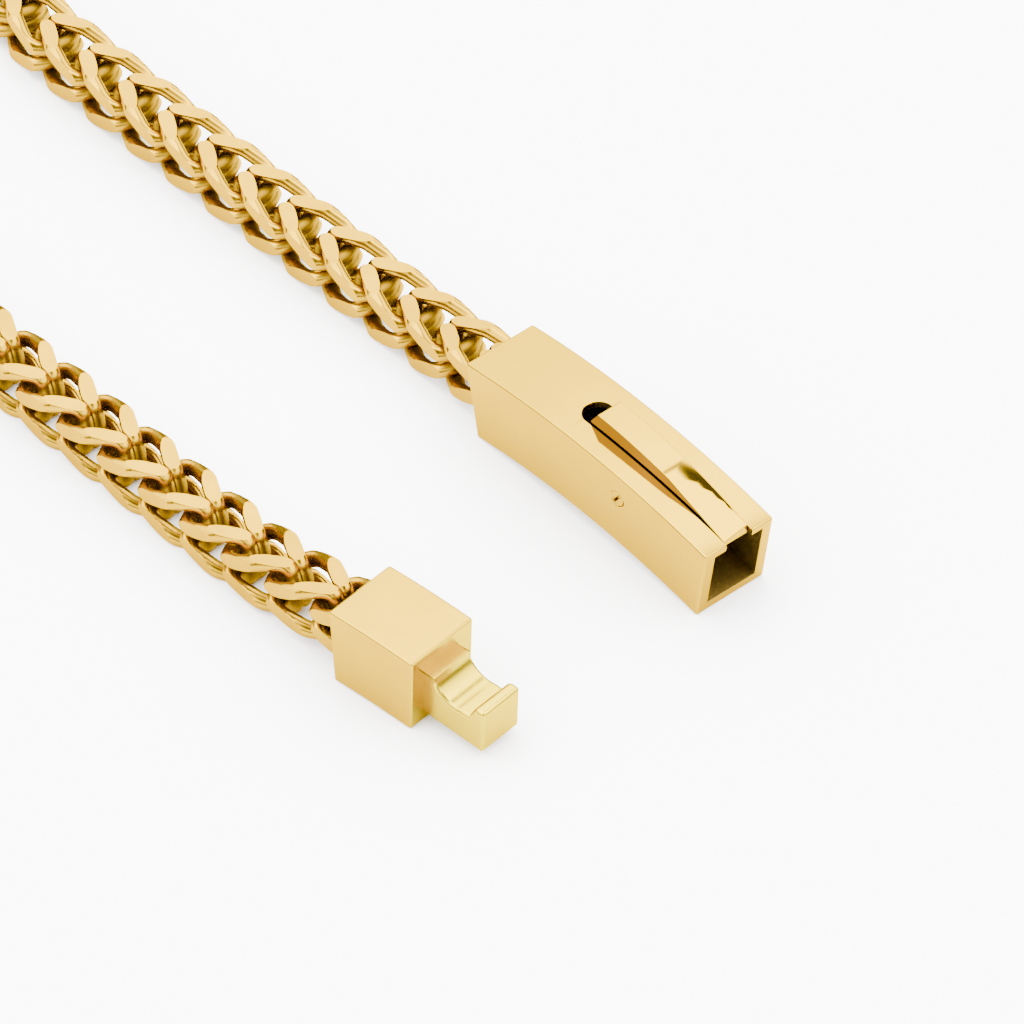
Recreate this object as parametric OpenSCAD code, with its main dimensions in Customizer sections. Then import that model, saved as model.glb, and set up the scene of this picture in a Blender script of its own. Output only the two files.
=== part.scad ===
// Franco chain necklace laid out flat, with its box clasp open.
// X runs along the two ends towards the clasp, Z is up, and the floor is Z = 0.

/* [Chain] */
// Links in the whole chain
link_count = 88; // [84:2:88]
// Distance from one link to the next
pitch = 5.4; // [5.35:0.05:5.5]
// Diameter of the wire of a link
wire_d = 1.6; // [1.4:0.05:1.6]
// Width and height of the chain over its four flats
chain_w = 5.3; // [5.2:0.05:5.4]

/* [Layout] */
// Distance between the two ends of the chain, side by side
leg_gap = 29.4; // [25:0.1:32]
// Radius of the round back of the loop
loop_r = 52; // [48:0.5:54]
// Radius of the bend where an end flares out into the loop
flare_r = 40; // [36:0.5:44]
// Turn of the box towards the tongue block
box_yaw = 1.7; // [0.5:0.1:4]
// Turn of the tongue block towards the box
block_yaw = 5.5; // [0.5:0.1:8]

/* [Clasp] */
// Width of the clasp
clasp_w = 7.5; // [7.2:0.1:8]
// Height of the clasp
clasp_h = 7.9; // [7.6:0.1:8.2]
// Radius of the clasp's gentle arch, at mid height
arch_r = 90; // [84:1:100]
// Length of the box
box_l = 30.2; // [29:0.2:32]
// Length of the tongue block without its tongue
block_l = 9.2; // [8.6:0.1:10]
// Length of the tongue
tongue_l = 6.8; // [6.4:0.1:7]
// Width of the tongue
tongue_w = 4.5; // [4.3:0.1:4.8]
// Thickness of the box's side walls
side_wall = 1.1; // [1:0.05:1.2]
// Thickness of the box's floor
floor_wall = 1; // [0.9:0.05:1.1]
// Thickness of the box's top
top_wall = 0.7; // [0.6:0.05:0.8]

/* [Lever] */
// Width of the lever
lever_w = 2.6; // [2.4:0.1:3]
// How far the back end of the lever stands above the box
lever_rise = 1.6; // [1.2:0.1:1.8]
// Diameter of the cross pin that the lever turns on
pin_d = 1.5; // [1.3:0.1:1.5]
// Distance from the mouth of the box back to the cross pin
pin_back = 11; // [10.4:0.1:11.4]
// Depth of the cross pin's centre below the top of the box
pin_drop = 2.7; // [2.6:0.05:2.8]

/* [Hidden] */
gold = [0.93, 0.76, 0.42];
shade_gold = [0.80, 0.62, 0.30];
smooth = 96;
over = 1;

// Clearances
pin_fit = 0.02;
run_fit = 0.05;
slit = 0.12;

// The arch: a half height above and below its mid radius, and the angle of a length on it
half_w = clasp_w / 2;
half_h = clasp_h / 2;
function arc_angle(l) = l / arch_r * 180 / PI;
box_half = arc_angle(box_l) / 2;
block_half = arc_angle(block_l) / 2;

// Where the chain runs into the clasp
tongue_end_depth = 3.4;
box_end_gap = 1.7;
chain_room = 5.8;
box_pocket = 6.7;
tongue_pocket = 4.7;
end_pin_d = 1.2;
// The tongue end pin stands in for the tips of a link before the first one
tongue_pin_depth = 1.6;
// The box end pin stands in for the necks of a link after the last one
box_pin_depth = 3.75;
end_pin_seat = 0.5;

// Plan of the loop, on one side, from the middle of its round back to a leg's end
flare_angle = acos((leg_gap / 2 + flare_r) / (loop_r + flare_r));
back_arc = loop_r * (90 + flare_angle) * PI / 180;
flare_arc = flare_r * flare_angle * PI / 180;
yaw_arc = 16;
chain_l = (link_count - 1) * pitch + box_end_gap - tongue_end_depth;
// The tongue's end lies beside the box's mouth, a little further back
tongue_behind = 0.5;
leg_step = box_l - block_l - tongue_l - tongue_behind;
tongue_run = (chain_l + leg_step) / 2;
box_run = (chain_l - leg_step) / 2;

// Position in plan and heading at a distance t from the middle of the back, for one of the two
// runs, which turns by yaw over its last stretch; the tongue's run is mirrored in Y
function turn_in(x, y, heading, r, t) =
    [x + r * (sin(heading + t / r * 180 / PI) - sin(heading)),
     y - r * (cos(heading + t / r * 180 / PI) - cos(heading)),
     heading + t / r * 180 / PI];
function back_at(t) = [-loop_r * cos(t / loop_r * 180 / PI),
                       loop_r * sin(t / loop_r * 180 / PI),
                       90 - t / loop_r * 180 / PI];
function flare_at(t) = let (a = back_at(back_arc)) turn_in(a[0], a[1], a[2], flare_r, t);
function leg_at(t) = let (a = flare_at(flare_arc)) [a[0] + t, a[1], 0];
function yaw_at(t, start, yaw) =
    let (a = leg_at(start), on_arc = min(t, yaw_arc),
         b = turn_in(a[0], a[1], 0, -yaw_arc / (yaw * PI / 180), on_arc))
    [b[0] + (t - on_arc) * cos(b[2]), b[1] + (t - on_arc) * sin(b[2]), b[2]];
function half_plan(t, run, yaw) =
    let (leg = back_arc + flare_arc, turn = run - yaw_arc)
    t < back_arc ? back_at(t)
    : t < leg ? flare_at(t - back_arc)
    : t < turn ? leg_at(t - leg)
    : yaw_at(t - turn, turn - leg, yaw);

// The whole necklace is centred along X
box_top_l = (2 * arch_r + half_h) * sin(box_half);
mouth_x = half_plan(box_run, box_run, box_yaw)[0] + box_top_l * cos(box_yaw) + half_w * sin(box_yaw);
centre_x = (mouth_x - loop_r - chain_w / 2) / 2;

// Height of the chain's middle: flat on the floor, then rising to the clasp's end face
rise_l = 16;
function rise(t, run, end_z, end_slope) =
    let (u = (t - (run - rise_l)) / rise_l, v = min(max(u, 0), 1), flat_z = chain_w / 2)
    flat_z + (end_z - flat_z) * (3 - 2 * v) * v * v + end_slope * rise_l * (v - 1) * v * v
    + (u > 1 ? (u - 1) * rise_l * end_slope : 0);
function face_z(half) = half_h * cos(half);
function tongue_side(t) =
    let (a = half_plan(t, tongue_run, block_yaw))
    [a[0] - centre_x, -a[1], rise(t, tongue_run, face_z(block_half), tan(block_half))];
function box_side(t) =
    let (a = half_plan(t, box_run, box_yaw))
    [a[0] - centre_x, a[1], rise(t, box_run, face_z(box_half), tan(box_half))];
// Joint i of the chain, 0 in the tongue block and link_count in the box
function joint(i) = let (s = i * pitch - tongue_end_depth)
    s < tongue_run ? tongue_side(tongue_run - s) : box_side(s - tongue_run);

// One link is a ring of wire folded in two: its two necks stand upright side by side, its arms
// spread over the top and the bottom and run down the sides to two tip bars. A quarter of its
// middle line, for wire_lay across from one wire to the next:
wire_lay = 1.72;
quarter = [[0, 0.51, 0.83],
           [0.65, 0.51, 1.71],
           [2.31, 1.49, 1.27],
           [4.22, 1.57, 0.51]];
sides = 5;
// Corners of the section stand out a little, so that its area is nearly that of round wire
corner_growth = 1.1;
corner_r = corner_growth * wire_d / 2;
function mirrored(q, sy, sz) = [for (v = q) [v[0], v[1] * sy, v[2] * sz]];
function backwards(q) = [for (i = [len(q) - 1 : -1 : 0]) q[i]];
ring = wire_lay * concat(mirrored(quarter, 1, 1), backwards(mirrored(quarter, -1, 1)),
                         mirrored(quarter, -1, -1), backwards(mirrored(quarter, 1, -1)));
ring_n = len(ring);
function unit(v) = v / norm(v);
function wrap(i) = (i + ring_n) % ring_n;
// The wire's section at a point of the ring lies in the plane that halves the bend there, and
// its first corner points away from the link's core
core = [wire_lay * 2, 0, 0];
function clamp(v, m) = min(max(v, -m), m);
function section(i) =
    let (way = unit(unit(ring[wrap(i + 1)] - ring[i]) + unit(ring[i] - ring[wrap(i - 1)])),
         out = unit(ring[i] - core - way * ((ring[i] - core) * way)),
         side = cross(way, out))
    [for (k = [0 : sides - 1]) let (a = (k + 0.5) * 360 / sides,
        v = ring[i] + corner_r * (cos(a) * out + sin(a) * side))
        [v[0], clamp(v[1], chain_w / 2), clamp(v[2], chain_w / 2)]];
link_points = [for (i = [0 : ring_n - 1]) each section(i)];
link_faces = [for (i = [0 : ring_n - 1], k = [0 : sides - 1])
    let (a = i * sides + k, b = i * sides + (k + 1) % sides,
         c = wrap(i + 1) * sides + (k + 1) % sides, d = wrap(i + 1) * sides + k)
    each [[a, c, b], [a, d, c]]];

module one_link(from, to) {
    way = to - from;
    translate(from)
        rotate([0, -asin(way[2] / norm(way)), atan2(way[1], way[0])])
            polyhedron(link_points, link_faces);
}

module links(first, last) {
    for (i = [first : last])
        one_link(joint(i), joint(i + 1));
}

half_count = link_count / 2;
module chain_tongue_half() {
    color(gold) links(0, half_count - 1);
}
module chain_box_half() {
    color(gold) links(half_count, link_count - 1);
}

// A bar that follows the arch, from one angle to another, between two heights and two widths,
// with the crown of the arch at X = 0
module arch_bar(a0, a1, z0, z1, w) {
    rotate([90, 0, 0])
        rotate(90 - a1)
            rotate_extrude(angle = a1 - a0, $fn = smooth * 4)
                translate([arch_r + z0, -w / 2])
                    square([z1 - z0, w]);
}
// A frame on the arch at angle a: X along it, Z out of its top, origin at mid height
module at_arch(a) {
    rotate([0, a, 0])
        translate([0, 0, arch_r])
            children();
}
// The whole arch is set down on the floor with its end faces' lower edges
module stand(half) {
    translate([0, 0, -(arch_r - half_h) * cos(half)])
        children();
}
// Places a clasp piece with its back face's middle at the end of a run
module box_place() {
    a = half_plan(box_run, box_run, box_yaw);
    translate([a[0] - centre_x, a[1], 0])
        rotate(a[2])
            translate([arch_r * sin(box_half), 0, 0])
                stand(box_half)
                    children();
}
module block_place() {
    a = half_plan(tongue_run, tongue_run, block_yaw);
    translate([a[0] - centre_x, -a[1], 0])
        rotate(-a[2])
            translate([arch_r * sin(block_half), 0, 0])
                stand(block_half)
                    children();
}

box_pin_angle = -box_half + arc_angle(box_pin_depth);
lever_angle = box_half - arc_angle(pin_back);
pin_z = half_h - pin_drop;
socket_l = 19.3;
socket_w = clasp_w - 2 * side_wall;
slot_w = lever_w + 2 * slit;
socket_back = box_half - arc_angle(socket_l);

// The slot in plan, with the cross pin's middle at the origin
module slot_plan() {
    slot_start = pin_back - socket_l;
    translate([slot_start + slot_w / 2, 0])
        circle(d = slot_w, $fn = smooth);
    translate([slot_start + slot_w / 2, -slot_w / 2])
        square([socket_l, slot_w]);
}

module clasp_box() {
    color(gold) box_place() difference() {
        arch_bar(-box_half, box_half, -half_h, half_h, clasp_w);
        // Socket for the tongue
        arch_bar(socket_back, box_half + over, floor_wall - half_h, half_h - top_wall, socket_w);
        // Slot for the lever, round at its back
        at_arch(lever_angle)
            linear_extrude(clasp_w)
                slot_plan();
        // Pocket for the end of the chain
        arch_bar(-box_half - over, -box_half + arc_angle(box_pocket),
                 -chain_room / 2, chain_room / 2, chain_room);
        at_arch(box_pin_angle)
            translate([0, 0, -chain_room / 2 - end_pin_seat])
                cylinder(h = chain_room + 2 * end_pin_seat, d = end_pin_d + 2 * pin_fit, $fn = smooth);
        // Bore of the cross pin
        at_arch(lever_angle)
            translate([0, clasp_w, pin_z])
                rotate([90, 0, 0])
                    cylinder(h = clasp_w * 2, d = pin_d + 2 * pin_fit, $fn = smooth);
    }
}

module box_end_pin() {
    pin_h = chain_room + 2 * end_pin_seat - 2 * pin_fit;
    color(shade_gold) box_place() at_arch(box_pin_angle)
        translate([0, 0, -pin_h / 2])
            cylinder(h = pin_h, d = end_pin_d, $fn = smooth);
}

// The cross pin ends flush with the box and has a screw slot in its near end
screw_slot_w = 0.25;
screw_slot_depth = 0.3;
screw_slot_turn = 35;
module hinge_pin() {
    color(shade_gold) box_place() at_arch(lever_angle) translate([0, 0, pin_z]) difference() {
        translate([0, half_w, 0])
            rotate([90, 0, 0])
                cylinder(h = clasp_w, d = pin_d, $fn = smooth);
        translate([0, -half_w, 0])
            rotate([0, screw_slot_turn, 0])
                cube([screw_slot_w, 2 * screw_slot_depth, 2 * pin_d], center = true);
    }
}

// The lever, seen from the side, with the cross pin at the origin: the height of the box's top
// and of the lever's own top above the pin, at a distance x towards the mouth
lever_front = pin_back - 0.1;
lever_back = -6.4;
front_rise = 0.3;
lever_thick = 1;
hub_r = 1.6;
hook_back = 5.4;
hook_front = 6.9;
hook_drop = 1.6;
hook_slant = 0.2;
// The back end slopes off at its top and at its underside, and its edge stands above the box
back_slope = 0.9;
back_undercut = 0.4;
back_edge = 0.3;
function box_top(x) = pin_drop - x * x / (2 * arch_r);
function lever_top(x) =
    let (u = (x - lever_back) / (lever_front - lever_back))
    box_top(x) + lever_rise * (1 - u * u) + front_rise * u * u;
top_steps = 12;
top_start = lever_back + back_slope;
lever_low = box_top(lever_front) + front_rise - lever_thick;
module lever_side() {
    polygon([for (i = [0 : top_steps]) let (x = top_start + (lever_front - top_start) * i / top_steps)
                 [x, lever_top(x)],
             [lever_front, lever_low],
             [hook_front + hook_slant, lever_low],
             [hook_front, lever_low - hook_drop],
             [hook_back + hook_slant, lever_low - hook_drop],
             [hook_back, lever_low],
             [hub_r, 0],
             [-hub_r, 0],
             [lever_back + back_undercut, box_top(lever_back) - lever_thick],
             [lever_back, box_top(lever_back) + back_edge]]);
}

// A facet is ground on the near side of the lever's top, dying out backwards: it keeps the slope
// of the top's front edge, a hair above it, and falls towards the near side
facet_tilt = 11.5;
facet_lift = 0.02;
front_slope = atan(lever_front / arch_r
                   + 2 * (lever_rise - front_rise) / (lever_front - lever_back));
module lever_facet() {
    translate([lever_front, lever_w / 2, lever_top(lever_front) + facet_lift])
        rotate([0, front_slope, 0])
            rotate([facet_tilt, 0, 0])
                translate([-box_l, -box_l, 0])
                    cube([2 * box_l, 2 * box_l, clasp_h]);
}

module lever() {
    color(gold) box_place() at_arch(lever_angle) translate([0, 0, pin_z]) difference() {
        rotate([90, 0, 0])
            translate([0, 0, -lever_w / 2])
                union() {
                    linear_extrude(lever_w)
                        lever_side();
                    cylinder(h = lever_w, r = hub_r, $fn = smooth);
                }
        rotate([90, 0, 0])
            translate([0, 0, -lever_w])
                cylinder(h = 2 * lever_w, d = pin_d + 2 * run_fit, $fn = smooth);
        lever_facet();
    }
}

// The tongue seen from the side: X from the block's front face, Z from the tongue's underside
tongue_z = floor_wall + 0.1 - half_h;
ridge_top = 4.6;
ridge_l = 1.1;
ridge_slope = 0.7;
scoop_low = 3.2;
ramp_foot = 2.8;
root_top = 4.8;
root_l = 1.1;
scoop_r = 2.4;
scoop_at = [3.4, 5.5];
module tongue_side_view() {
    difference() {
        polygon([[-over, 0],
                 [tongue_l, 0],
                 [tongue_l, ridge_top],
                 [tongue_l - ridge_l, ridge_top],
                 [tongue_l - ridge_l - ridge_slope, scoop_low],
                 [ramp_foot, scoop_low],
                 [root_l, root_top],
                 [-over, root_top]]);
        // The ramp is hollow
        translate(scoop_at)
            circle(r = scoop_r, $fn = smooth);
    }
}

module clasp_tongue() {
    tongue_pin_angle = -block_half + arc_angle(tongue_pin_depth);
    color(gold) block_place() difference() {
        union() {
            arch_bar(-block_half, block_half, -half_h, half_h, clasp_w);
            at_arch(block_half)
                translate([0, tongue_w / 2, tongue_z])
                    rotate([90, 0, 0])
                        linear_extrude(tongue_w)
                            tongue_side_view();
        }
        arch_bar(-block_half - over, -block_half + arc_angle(tongue_pocket),
                 -chain_room / 2, chain_room / 2, chain_room);
        at_arch(tongue_pin_angle)
            translate([0, chain_room / 2 + end_pin_seat, 0])
                rotate([90, 0, 0])
                    cylinder(h = chain_room + 2 * end_pin_seat, d = end_pin_d + 2 * pin_fit, $fn = smooth);
    }
}

module tongue_end_pin() {
    pin_h = chain_room + 2 * end_pin_seat - 2 * pin_fit;
    color(shade_gold) block_place() at_arch(-block_half + arc_angle(tongue_pin_depth))
        translate([0, pin_h / 2, 0])
            rotate([90, 0, 0])
                cylinder(h = pin_h, d = end_pin_d, $fn = smooth);
}

chain_box_half();
chain_tongue_half();
clasp_box();
lever();
hinge_pin();
clasp_tongue();
box_end_pin();
tongue_end_pin();
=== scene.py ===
from math import cos, radians, sin

import bmesh
import bpy
from mathutils import Matrix, Vector


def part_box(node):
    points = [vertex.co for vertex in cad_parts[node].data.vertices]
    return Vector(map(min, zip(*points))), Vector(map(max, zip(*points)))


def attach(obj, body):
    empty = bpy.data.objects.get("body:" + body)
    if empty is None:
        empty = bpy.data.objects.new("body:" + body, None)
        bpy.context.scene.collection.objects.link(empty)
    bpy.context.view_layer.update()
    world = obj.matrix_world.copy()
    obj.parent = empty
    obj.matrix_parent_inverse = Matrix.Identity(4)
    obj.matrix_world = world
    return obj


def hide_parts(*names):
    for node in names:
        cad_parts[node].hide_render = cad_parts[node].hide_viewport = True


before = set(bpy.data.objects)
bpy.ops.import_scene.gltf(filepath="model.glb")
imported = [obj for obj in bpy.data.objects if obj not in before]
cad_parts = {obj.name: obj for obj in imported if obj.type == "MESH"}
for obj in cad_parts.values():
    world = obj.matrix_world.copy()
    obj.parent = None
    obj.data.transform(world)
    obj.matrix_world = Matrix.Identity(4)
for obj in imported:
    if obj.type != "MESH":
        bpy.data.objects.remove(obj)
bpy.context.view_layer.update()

MM = 0.001
NECKLACE = "necklace"
LEVER = "clasp_lever"

# Wire of a link, and the width of the chain over its four ground flats
WIRE_D = 1.50 * MM
CHAIN_W = 5.3 * MM
# Middle line of a quarter of a link in mm, from one of its necks along an arm to its tip bar
LINK_QUARTER = ((0, 0.60, 1.15), (0.50, 0.63, 2.14), (2.00, 1.42, 2.31), (3.45, 2.14, 1.90),
                (6.40, 2.10, 0.93))
# How finely a link's wire is divided round its section and along each knot's stretch
WIRE_FINENESS = 6
KNOT_FINENESS = 5
# Where the chain's painted shade begins, darkening it inwards, and over how much, as shares of its
# half width
RECESS_SHADE_TOP = 0.80
RECESS_SHADE_DEPTH = 0.35
# Rounds in which the long axis of a CAD link is found
AXIS_ROUNDS = 12

# Turn of the box and of the tongue block in plan
BOX_YAW = radians(-1.7)
BLOCK_YAW = radians(5.5)
# The tongue's length, how far from its root its round edges and its cast finish begin, and the
# length of the ridge at its end
TONGUE_L = 6.8 * MM
ROUND_START = 0.3 * MM
CAST_START = 0.5 * MM
RIDGE_L = 1.4 * MM
# An edge that runs along the tongue by less than this goes across it
CROSS_RUN = 0.1 * MM
# The clasp's height, and the radius of its arch at its mid height
CLASP_H = 7.9 * MM
ARCH_R = 90 * MM
# The box is left sharp this far round its cross pin
BORE_MARGIN = 0.2 * MM

# Width and steps of the rounding of edges
BOX_EDGE = (0.19 * MM, 4)
SLOT_EDGE = (0.06 * MM, 2)
LEVER_EDGE = (0.09 * MM, 3)
TONGUE_EDGE = (0.36 * MM, 5)
BLOCK_EDGE = (0.24 * MM, 4)
PIN_EDGE = (0.07 * MM, 3)

# Two faces meet in a sharp edge past this angle, and are one flat face within the other
SHARP_ANGLE = radians(30)
FLAT_ANGLE = radians(0.5)
# A face looks one way when more than this share of its normal goes that way, and counts as
# looking down when more than the second share does
FACING = 0.9
FACING_DOWN = 0.2
# Distances within which points are one: on the swept wire, on a CAD node and on a rounded solid
WIRE_WELD = 0.0001 * MM
CAD_WELD = 0.001 * MM
ROUNDED_WELD = 0.002 * MM


# Shader nodes

class Value:
    """A socket of a node tree. Python sums on the sockets of numbers add Math nodes."""

    def __init__(self, nodes, socket):
        self.nodes = nodes
        self.socket = socket

    def maths(self, operation, first, second):
        return self.nodes.node("ShaderNodeMath", {"operation": operation}, 0,
                               {0: first, 1: second})

    def __add__(self, other):
        return self.maths("ADD", self, other)

    def __radd__(self, other):
        return self.maths("ADD", other, self)

    def __sub__(self, other):
        return self.maths("SUBTRACT", self, other)

    def __rsub__(self, other):
        return self.maths("SUBTRACT", other, self)

    def __mul__(self, other):
        return self.maths("MULTIPLY", self, other)

    def __rmul__(self, other):
        return self.maths("MULTIPLY", other, self)


class Nodes:
    """The node tree of a material or a world."""

    def __init__(self, owner):
        owner.use_nodes = True
        self.tree = owner.node_tree

    def feed(self, place, value):
        """Links a socket to an input, or sets the input to a number or a colour."""
        if isinstance(value, Value):
            self.tree.links.new(value.socket, place)
        else:
            place.default_value = value

    def node(self, kind, settings, output, values):
        """Adds a node, sets its settings, then its inputs, and returns one of its outputs."""
        node = self.tree.nodes.new(kind)
        for name, setting in settings.items():
            setattr(node, name, setting)
        for place, value in values.items():
            self.feed(node.inputs[place], value)
        return Value(self, node.outputs[output])


class Finish(Nodes):
    """A material on a Principled shader, whose patterns read the object's own coordinates."""

    def __init__(self, name):
        self.material = bpy.data.materials.new(name)
        super().__init__(self.material)
        self.shader = self.tree.nodes["Principled BSDF"]
        self.place = self.node("ShaderNodeTexCoord", {}, "Object", {})

    def noise(self, size, detail=3.0):
        """Noise from about 0.3 to 0.7, with waves of a size in metres."""
        return self.node("ShaderNodeTexNoise", {}, "Fac",
                         {"Vector": self.place, "Scale": 1 / size, "Detail": detail})

    def mix(self, amount, low, high):
        """A colour between two colours."""
        factor, first, second, result = 0, 6, 7, 2
        return self.node("ShaderNodeMix", {"data_type": "RGBA"}, result,
                         {factor: amount, first: low, second: high})

    def set(self, values):
        for name, value in values.items():
            self.feed(self.shader.inputs[name], value)

    def bump(self, height, distance):
        self.set({"Normal": self.node("ShaderNodeBump", {}, "Normal",
                                      {"Height": height, "Distance": distance, "Strength": 1.0})})


# Size of the clouds in the gold's tone and their contrast, how much the polish varies, as a share
# of its roughness, and how much duller the recesses are
CLOUD_SIZE = 4 * MM
CLOUD_CONTRAST = 1.6
POLISH_VARIES = 0.6
RECESS_DULLING = 0.25
NOISE_MIDDLE = 0.5
# Gold stays gold at a grazing look, where a plain metal would turn white
GRAZING_GOLD = (1.0, 0.78, 0.12, 1)


def gold(name, pale, deep, roughness, grain, grain_size=0.05 * MM, shadow=None):
    """Polished gold plating: cloudy between two tones, with a little grain in its polish.

    With a shadow tone, painted shade turns the recesses that a mesh attribute marks to it."""
    finish = Finish(name)
    cloud = finish.noise(CLOUD_SIZE)
    fine = finish.noise(grain_size, detail=2.0)
    tone = (cloud - NOISE_MIDDLE) * CLOUD_CONTRAST + NOISE_MIDDLE
    colour = finish.mix(tone, pale + (1,), deep + (1,))
    rough = roughness + (fine - NOISE_MIDDLE) * roughness * POLISH_VARIES
    if shadow:
        recess_shade = finish.node("ShaderNodeAttribute", {"attribute_name": "recess_shade"}, "Fac", {})
        colour = finish.mix(recess_shade, colour, shadow + (1,))
        rough = rough + recess_shade * RECESS_DULLING
    finish.set({"Base Color": colour, "Metallic": 1.0, "Roughness": rough,
                "Specular Tint": GRAZING_GOLD})
    finish.bump(fine, grain)
    return finish.material


# The tones are low because the studio is very bright, which keeps its floor white
# The chain's shadow tone is painted shade, laid on its wire where it lies inside the ground flats.
CHAIN_GOLD = gold("chain_gold", (0.34, 0.195, 0.001), (0.26, 0.143, 0.001), 0.22,
                  grain=0.001 * MM, shadow=(0.13, 0.072, 0.001))
CLASP_GOLD = gold("clasp_gold", (0.32, 0.192, 0.001), (0.29, 0.172, 0.001), 0.06,
                  grain=0.0006 * MM)
# Painted shade: a darker copy of the clasp gold for the lever's sides and underside.
LEVER_SHADE_GOLD = gold("lever_side_shade_gold", (0.17, 0.122, 0.001), (0.12, 0.086, 0.001), 0.09,
                 grain=0.001 * MM)
PIN_GOLD = gold("pin_gold", (0.32, 0.19, 0.003), (0.26, 0.15, 0.002), 0.14,
                grain=0.002 * MM)
# Painted shade, with a rougher polish: the darker gold of the box's socket and slot walls.
SOCKET_SHADE_GOLD = gold("socket_shade_gold", (0.24, 0.155, 0.03), (0.12, 0.075, 0.012), 0.42,
                   grain=0.02 * MM, grain_size=0.22 * MM)
CAST_GOLD = gold("cast_gold", (0.38, 0.272, 0.001), (0.31, 0.218, 0.001), 0.24,
                 grain=0.006 * MM, grain_size=0.2 * MM)


# Pieces

def finished_mesh(name, bm):
    """Turns a bmesh into a mesh."""
    mesh = bpy.data.meshes.new(name)
    bm.to_mesh(mesh)
    bm.free()
    return mesh


def add_piece(name, mesh, body, replaced):
    """A piece that rides on a body, wears a material slot and stands in for a CAD node."""
    piece = bpy.data.objects.new(name, mesh)
    bpy.context.scene.collection.objects.link(piece)
    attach(piece, body)
    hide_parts(replaced)
    return piece


def merged(node):
    """A bmesh of a CAD node, with its triangles joined to each other."""
    bm = bmesh.new()
    bm.from_mesh(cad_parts[node].data)
    bmesh.ops.remove_doubles(bm, verts=bm.verts, dist=CAD_WELD)
    return bm


def islands(bm):
    """The loose solids of a bmesh in a fixed order, each as a list of its points."""
    seen = set()
    for start in bm.verts:
        if start in seen:
            continue
        seen.add(start)
        found = [start]
        for vert in found:
            for edge in vert.link_edges:
                other = edge.other_vert(vert)
                if other not in seen:
                    seen.add(other)
                    found.append(other)
        yield [vert.co.copy() for vert in found]


# Chain

def link_ring():
    """Middle line of a link's wire: a ring folded in two, with its two necks at X = 0."""
    quarter = [Vector(point) * MM for point in LINK_QUARTER]

    def turned(y, z):
        return [Vector((point.x, point.y * y, point.z * z)) for point in quarter]

    return turned(1, 1) + turned(-1, 1)[::-1] + turned(-1, -1) + turned(1, -1)[::-1]


def swept_ring():
    """Round wire along the link's ring."""
    curve = bpy.data.curves.new("link_wire", "CURVE")
    curve.dimensions = "3D"
    curve.bevel_depth = WIRE_D / 2
    curve.bevel_resolution = WIRE_FINENESS
    curve.resolution_u = KNOT_FINENESS
    spline = curve.splines.new("BEZIER")
    points = link_ring()
    spline.bezier_points.add(len(points) - 1)
    spline.use_cyclic_u = True
    for knot, point in zip(spline.bezier_points, points):
        knot.co = point
        knot.handle_left_type = knot.handle_right_type = "AUTO"
    wire = bpy.data.objects.new("link_wire", curve)
    bpy.context.scene.collection.objects.link(wire)
    bpy.context.view_layer.update()
    shaped = wire.evaluated_get(bpy.context.evaluated_depsgraph_get())
    mesh = bpy.data.meshes.new_from_object(shaped)
    bpy.data.objects.remove(wire)
    return mesh


def grind_flat(bm, out):
    """Cuts a link off at the chain's half width, square to a direction, and closes the cut."""
    everything = bm.verts[:] + bm.edges[:] + bm.faces[:]
    cut = bmesh.ops.bisect_plane(bm, geom=everything, plane_co=out * CHAIN_W / 2, plane_no=out,
                                 clear_outer=True)["geom_cut"]
    rim = [part for part in cut if isinstance(part, bmesh.types.BMEdge)]
    for edge in rim:
        edge.smooth = False
    for face in bmesh.ops.holes_fill(bm, edges=rim, sides=0)["faces"]:
        face.smooth = False


def link_mesh():
    """One link, ground flat on its two sides, its top and its underside."""
    bm = bmesh.new()
    bm.from_mesh(swept_ring())
    bmesh.ops.remove_doubles(bm, verts=bm.verts, dist=WIRE_WELD)
    bmesh.ops.recalc_face_normals(bm, faces=bm.faces)
    for face in bm.faces:
        face.smooth = True
    for out in ((0, 1, 0), (0, -1, 0), (0, 0, 1), (0, 0, -1)):
        grind_flat(bm, Vector(out))
    # Painted shade: the wire darkens the further inside the chain's ground flats it lies.
    recess_shade = bm.verts.layers.float.new("recess_shade")
    for vert in bm.verts:
        out = max(abs(vert.co.y), abs(vert.co.z)) / (CHAIN_W / 2)
        vert[recess_shade] = min(max((RECESS_SHADE_TOP - out) / RECESS_SHADE_DEPTH, 0), 1)
    return finished_mesh("link", bm)


def link_place(points):
    """Where a CAD link lies, as a turn with X from its necks to its tips and Z up, and a place."""
    middle = sum(points, Vector()) / len(points)
    far = max(points, key=lambda point: (point - middle).length)
    way = (far - middle).normalized()
    for _ in range(AXIS_ROUNDS):
        way = sum(((point - middle) * (point - middle).dot(way) for point in points), Vector())
        way.normalize()
    runs = [(point - middle).dot(way) for point in points]
    spreads = [(point - middle).cross(way).length for point in points]
    # A link is wider towards its tips
    if sum(run * spread for run, spread in zip(runs, spreads)) < 0:
        way = -way
        runs = [-run for run in runs]
    side = Vector((0, 0, 1)).cross(way).normalized()
    back = middle + way * (min(runs) + WIRE_D / 2)
    return Matrix((way, side, way.cross(side))).transposed().to_4x4(), back


def chain_piece(node, link):
    """Puts the wire link in the place of each CAD link of one half of the chain."""
    bm = bmesh.new()
    for points in islands(merged(node)):
        turn, back = link_place(points)
        first = len(bm.verts)
        bm.from_mesh(link)
        bm.verts.ensure_lookup_table()
        bmesh.ops.transform(bm, matrix=Matrix.Translation(back) @ turn, verts=bm.verts[first:])
    mesh = finished_mesh(node + "_links", bm)
    mesh.materials.append(CHAIN_GOLD)
    return add_piece(node + "_links", mesh, NECKLACE, node)


# Clasp

def clean_copy(node):
    """A CAD node's solid with whole faces in place of its triangles."""
    bm = merged(node)
    bmesh.ops.dissolve_limit(bm, angle_limit=FLAT_ANGLE, verts=bm.verts, edges=bm.edges)
    return bm


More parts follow.
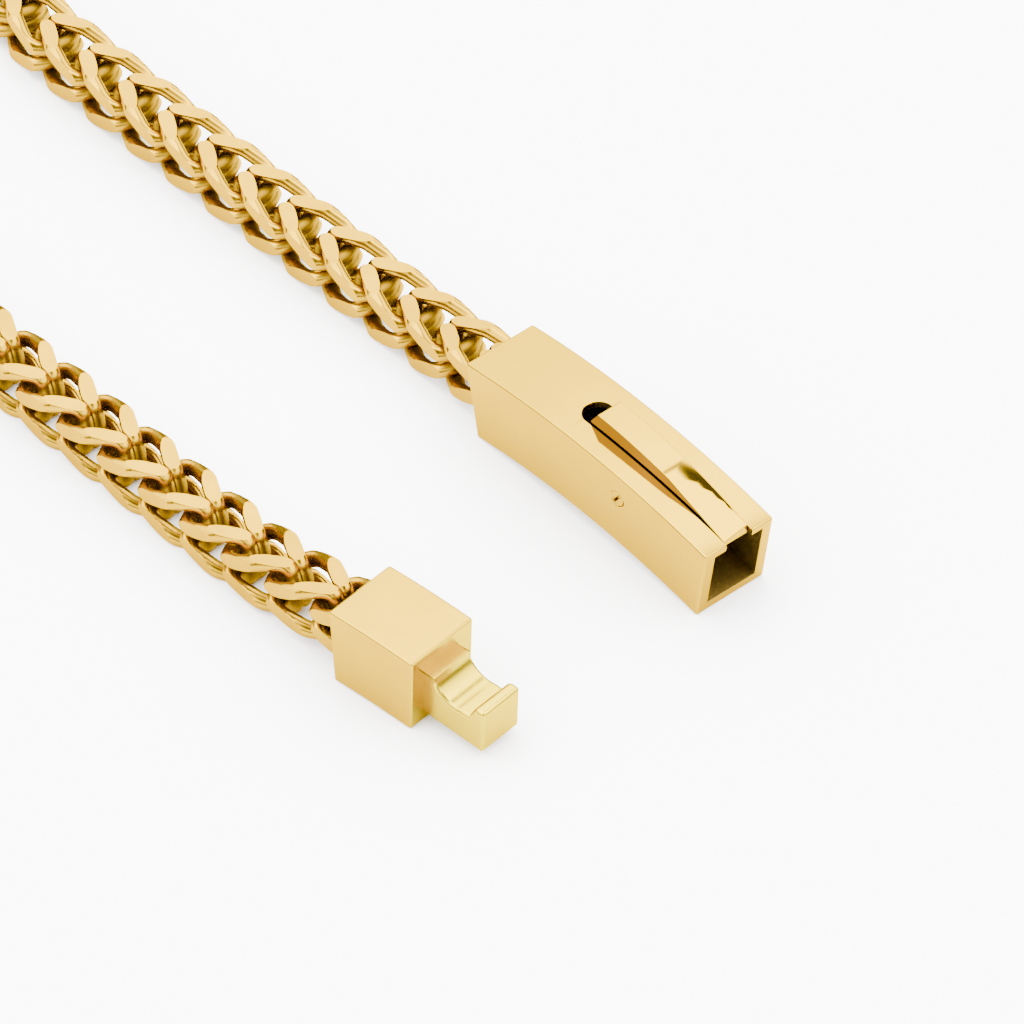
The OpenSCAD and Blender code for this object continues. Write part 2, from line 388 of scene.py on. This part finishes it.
def round_edges(bm, rounding, chosen=lambda edge: True):
    """Rounds the sharp edges of a solid that are chosen."""
    width, steps = rounding
    sharp = [edge for edge in bm.edges
             if edge.is_manifold and edge.calc_face_angle() > SHARP_ANGLE and chosen(edge)]
    bmesh.ops.bevel(bm, geom=sharp, offset=width, offset_type="OFFSET", affect="EDGES",
                    segments=steps, profile=0.5, material=-1, clamp_overlap=False)


def solid_piece(node, bm, body, slot, *materials):
    """Makes a rounded solid the piece that replaces its CAD node."""
    bmesh.ops.remove_doubles(bm, verts=bm.verts, dist=ROUNDED_WELD)
    for face in bm.faces:
        face.smooth = True
    for edge in bm.edges:
        edge.smooth = edge.calc_face_angle(0) < SHARP_ANGLE
    mesh = finished_mesh(node + "_polished", bm)
    for material in materials:
        mesh.materials.append(material)
    piece = add_piece(node + "_polished", mesh, body, node)
    weighting = piece.modifiers.new("even_shading", "WEIGHTED_NORMAL")
    weighting.keep_sharp = True
    return piece


def along(yaw):
    return Vector((cos(yaw), sin(yaw), 0))


def across(yaw):
    return Vector((-sin(yaw), cos(yaw), 0))


def clasp_box():
    """The box, with its socket and slot in a rougher gold that polishing didn't reach, darkened
    with painted shade.
    """
    bm = clean_copy("clasp_box")
    low, high = (Vector(corner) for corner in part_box("clasp_box"))
    middle = (low + high) / 2
    crown = high.z - CLASP_H / 2
    for face in bm.faces:
        out = face.calc_center_median() - middle
        run = out.dot(along(BOX_YAW))
        side = out.dot(across(BOX_YAW))
        height = out.z + middle.z - (crown - run * run / (2 * ARCH_R))
        lengthwise = abs(face.normal.dot(along(BOX_YAW))) < FACING
        # Faces looking inwards, into the socket and slot, take the painted shade.
        if lengthwise and face.normal.dot(across(BOX_YAW)) * side + face.normal.z * height < 0:
            face.material_index = 1

    def outside(edge):
        return all(face.material_index == 0 for face in edge.link_faces)

    pin_low, pin_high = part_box("hinge_pin")

    def off_the_bores(edge):
        return not all(pin_low[0] - BORE_MARGIN < vert.co.x < pin_high[0] + BORE_MARGIN
                       and pin_low[2] - BORE_MARGIN < vert.co.z < pin_high[2] + BORE_MARGIN
                       for vert in edge.verts)

    round_edges(bm, BOX_EDGE, outside)
    round_edges(bm, SLOT_EDGE, off_the_bores)
    return solid_piece("clasp_box", bm, NECKLACE, "clasp_gold", CLASP_GOLD, SOCKET_SHADE_GOLD)


def lever():
    """The lever, whose sides and underside wear painted shade, less bright than its top."""
    bm = clean_copy("lever")
    for face in bm.faces:
        if abs(face.normal.dot(across(BOX_YAW))) > FACING or face.normal.z < -FACING_DOWN:
            face.material_index = 1
    round_edges(bm, LEVER_EDGE)
    return solid_piece("lever", bm, LEVER, "clasp_gold", CLASP_GOLD, LEVER_SHADE_GOLD)


def clasp_tongue():
    """The tongue block, polished, and its cast tongue, whose edges are rounder."""
    bm = clean_copy("clasp_tongue")
    way = along(BLOCK_YAW)
    root = max(vert.co.dot(way) for vert in bm.verts) - TONGUE_L

    def on_tongue(edge):
        return min(vert.co.dot(way) for vert in edge.verts) > root + ROUND_START

    def crosswise(edge):
        """In the scoop or on the ramp, from side to side."""
        start, end = (vert.co.dot(way) for vert in edge.verts)
        return abs(start - end) < CROSS_RUN and start < root + TONGUE_L - RIDGE_L

    for face in bm.faces:
        is_cast = face.calc_center_median().dot(way) > root + CAST_START
        if is_cast or face.normal.dot(way) > FACING:
            face.material_index = 1
    round_edges(bm, TONGUE_EDGE, lambda edge: on_tongue(edge) and not crosswise(edge))
    round_edges(bm, BLOCK_EDGE, lambda edge: edge.is_convex and not on_tongue(edge))
    return solid_piece("clasp_tongue", bm, NECKLACE, "clasp_gold", CLASP_GOLD, CAST_GOLD)


def pin(node):
    """The cross pin or one of the two hidden end pins."""
    bm = clean_copy(node)
    round_edges(bm, PIN_EDGE)
    return solid_piece(node, bm, NECKLACE, "pin_gold", PIN_GOLD)


# Studio

# Camera in the frame's axes, worked out from the clasp's corners in the photograph
AZIMUTH = radians(48.94)
ELEVATION = radians(44.59)
ROLL = radians(-1.172)
DISTANCE = 890.4 * MM
# The point that it looks at, from the middle of the box in plan, and its height
AIM_FROM_BOX = (-2.73 * MM, -9.76 * MM)
AIM_HEIGHT = 3.75 * MM
# The lens, as its focal length in pixels of the photograph, on a sensor of this width in mm
FOCAL_PIXELS = 10501
IMAGE_PIXELS = 1024
SENSOR_W = 36
# How near and how far the camera sees, in metres
CLIP = (0.01, 20)
# Half the width of the floor, its two whites and the size of the clouds between them
FLOOR_HALF = 0.7
FLOOR_WHITE = (0.95, 0.95, 0.95, 1)
FLOOR_DULL = (0.93, 0.93, 0.935, 1)
FLOOR_CLOUD = 60 * MM
FLOOR_ROUGHNESS = 0.9
# Strength of the room's light, and that of its dim foot and openings
ROOM_LIGHT = 20.0
ROOM_DIM = 0.35
# Angles from overhead, in degrees, between which the light falls off to the room's foot, and
# between which its roof fades, and the roof's share of the light
ROOM_TOP = (62, 78)
ROOF = (10, 62)
ROOF_SHARE = 0.42
# Directions of the opening for the lens and of a side opening, and the angles from each, in
# degrees, at which its dark begins to fade and ends
LENS_GAP = ((0.537, -0.468, 1.0), 13, 34)
SIDE_GAP = ((-0.12, 0.468, 0.872), 6, 10)


def add_camera():
    camera = bpy.data.cameras.new("camera")
    camera.sensor_width = SENSOR_W
    camera.lens = SENSOR_W * FOCAL_PIXELS / IMAGE_PIXELS
    camera.clip_start, camera.clip_end = CLIP
    forward = Vector((-sin(AZIMUTH) * cos(ELEVATION), cos(AZIMUTH) * cos(ELEVATION),
                      -sin(ELEVATION)))
    level = Vector((cos(AZIMUTH), sin(AZIMUTH), 0))
    upright = level.cross(forward)
    right = level * cos(ROLL) + upright * sin(ROLL)
    up = upright * cos(ROLL) - level * sin(ROLL)
    seat = bpy.data.objects.new("camera", camera)
    place = Matrix((right, up, -forward)).transposed().to_4x4()
    low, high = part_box("clasp_box")
    target = Vector(((low[0] + high[0]) / 2 + AIM_FROM_BOX[0],
                     (low[1] + high[1]) / 2 + AIM_FROM_BOX[1], AIM_HEIGHT))
    place.translation = target - forward * DISTANCE
    seat.matrix_world = place
    bpy.context.scene.collection.objects.link(seat)
    bpy.context.scene.camera = seat


def add_floor():
    bm = bmesh.new()
    bmesh.ops.create_grid(bm, x_segments=1, y_segments=1, size=FLOOR_HALF)
    mesh = finished_mesh("floor", bm)
    finish = Finish("floor_white")
    cloud = finish.noise(FLOOR_CLOUD)
    finish.set({"Base Color": finish.mix(cloud, FLOOR_WHITE, FLOOR_DULL),
                "Roughness": FLOOR_ROUGHNESS})
    mesh.materials.append(finish.material)
    floor = bpy.data.objects.new("floor", mesh)
    bpy.context.scene.collection.objects.link(floor)


def add_room():
    """A white studio tent: bright overhead, dim along its foot and round its two openings."""
    world = bpy.data.worlds.new("studio")
    nodes = Nodes(world)
    way = nodes.node("ShaderNodeTexCoord", {}, "Generated", {})

    def towards(direction, near, far):
        """1 within near of a direction and 0 past far, both in degrees."""
        share = nodes.node("ShaderNodeVectorMath", {"operation": "DOT_PRODUCT"}, "Value",
                           {0: way, 1: Vector(direction).normalized()})
        return nodes.node("ShaderNodeMapRange", {"interpolation_type": "SMOOTHSTEP"}, "Result",
                          {"Value": share, "From Min": cos(radians(far)),
                           "From Max": cos(radians(near))})

    up = (0, 0, 1)
    overhead = towards(up, *ROOM_TOP)
    roof = towards(up, *ROOF) * ROOF_SHARE + (1 - ROOF_SHARE)
    openings = (1 - towards(*LENS_GAP)) * (1 - towards(*SIDE_GAP))
    light = openings * overhead * roof * (ROOM_LIGHT - ROOM_DIM) + ROOM_DIM
    background = nodes.tree.nodes["Background"]
    nodes.feed(background.inputs["Strength"], light)
    nodes.feed(background.inputs["Color"], (1, 1, 1, 1))
    bpy.context.scene.world = world


add_camera()
add_floor()
add_room()

one_link = link_mesh()
for chain_node in ("chain_box_half", "chain_tongue_half"):
    chain_piece(chain_node, one_link)

clasp_box()
lever()
clasp_tongue()
for pin_node in ("hinge_pin", "box_end_pin", "tongue_end_pin"):
    pin(pin_node)
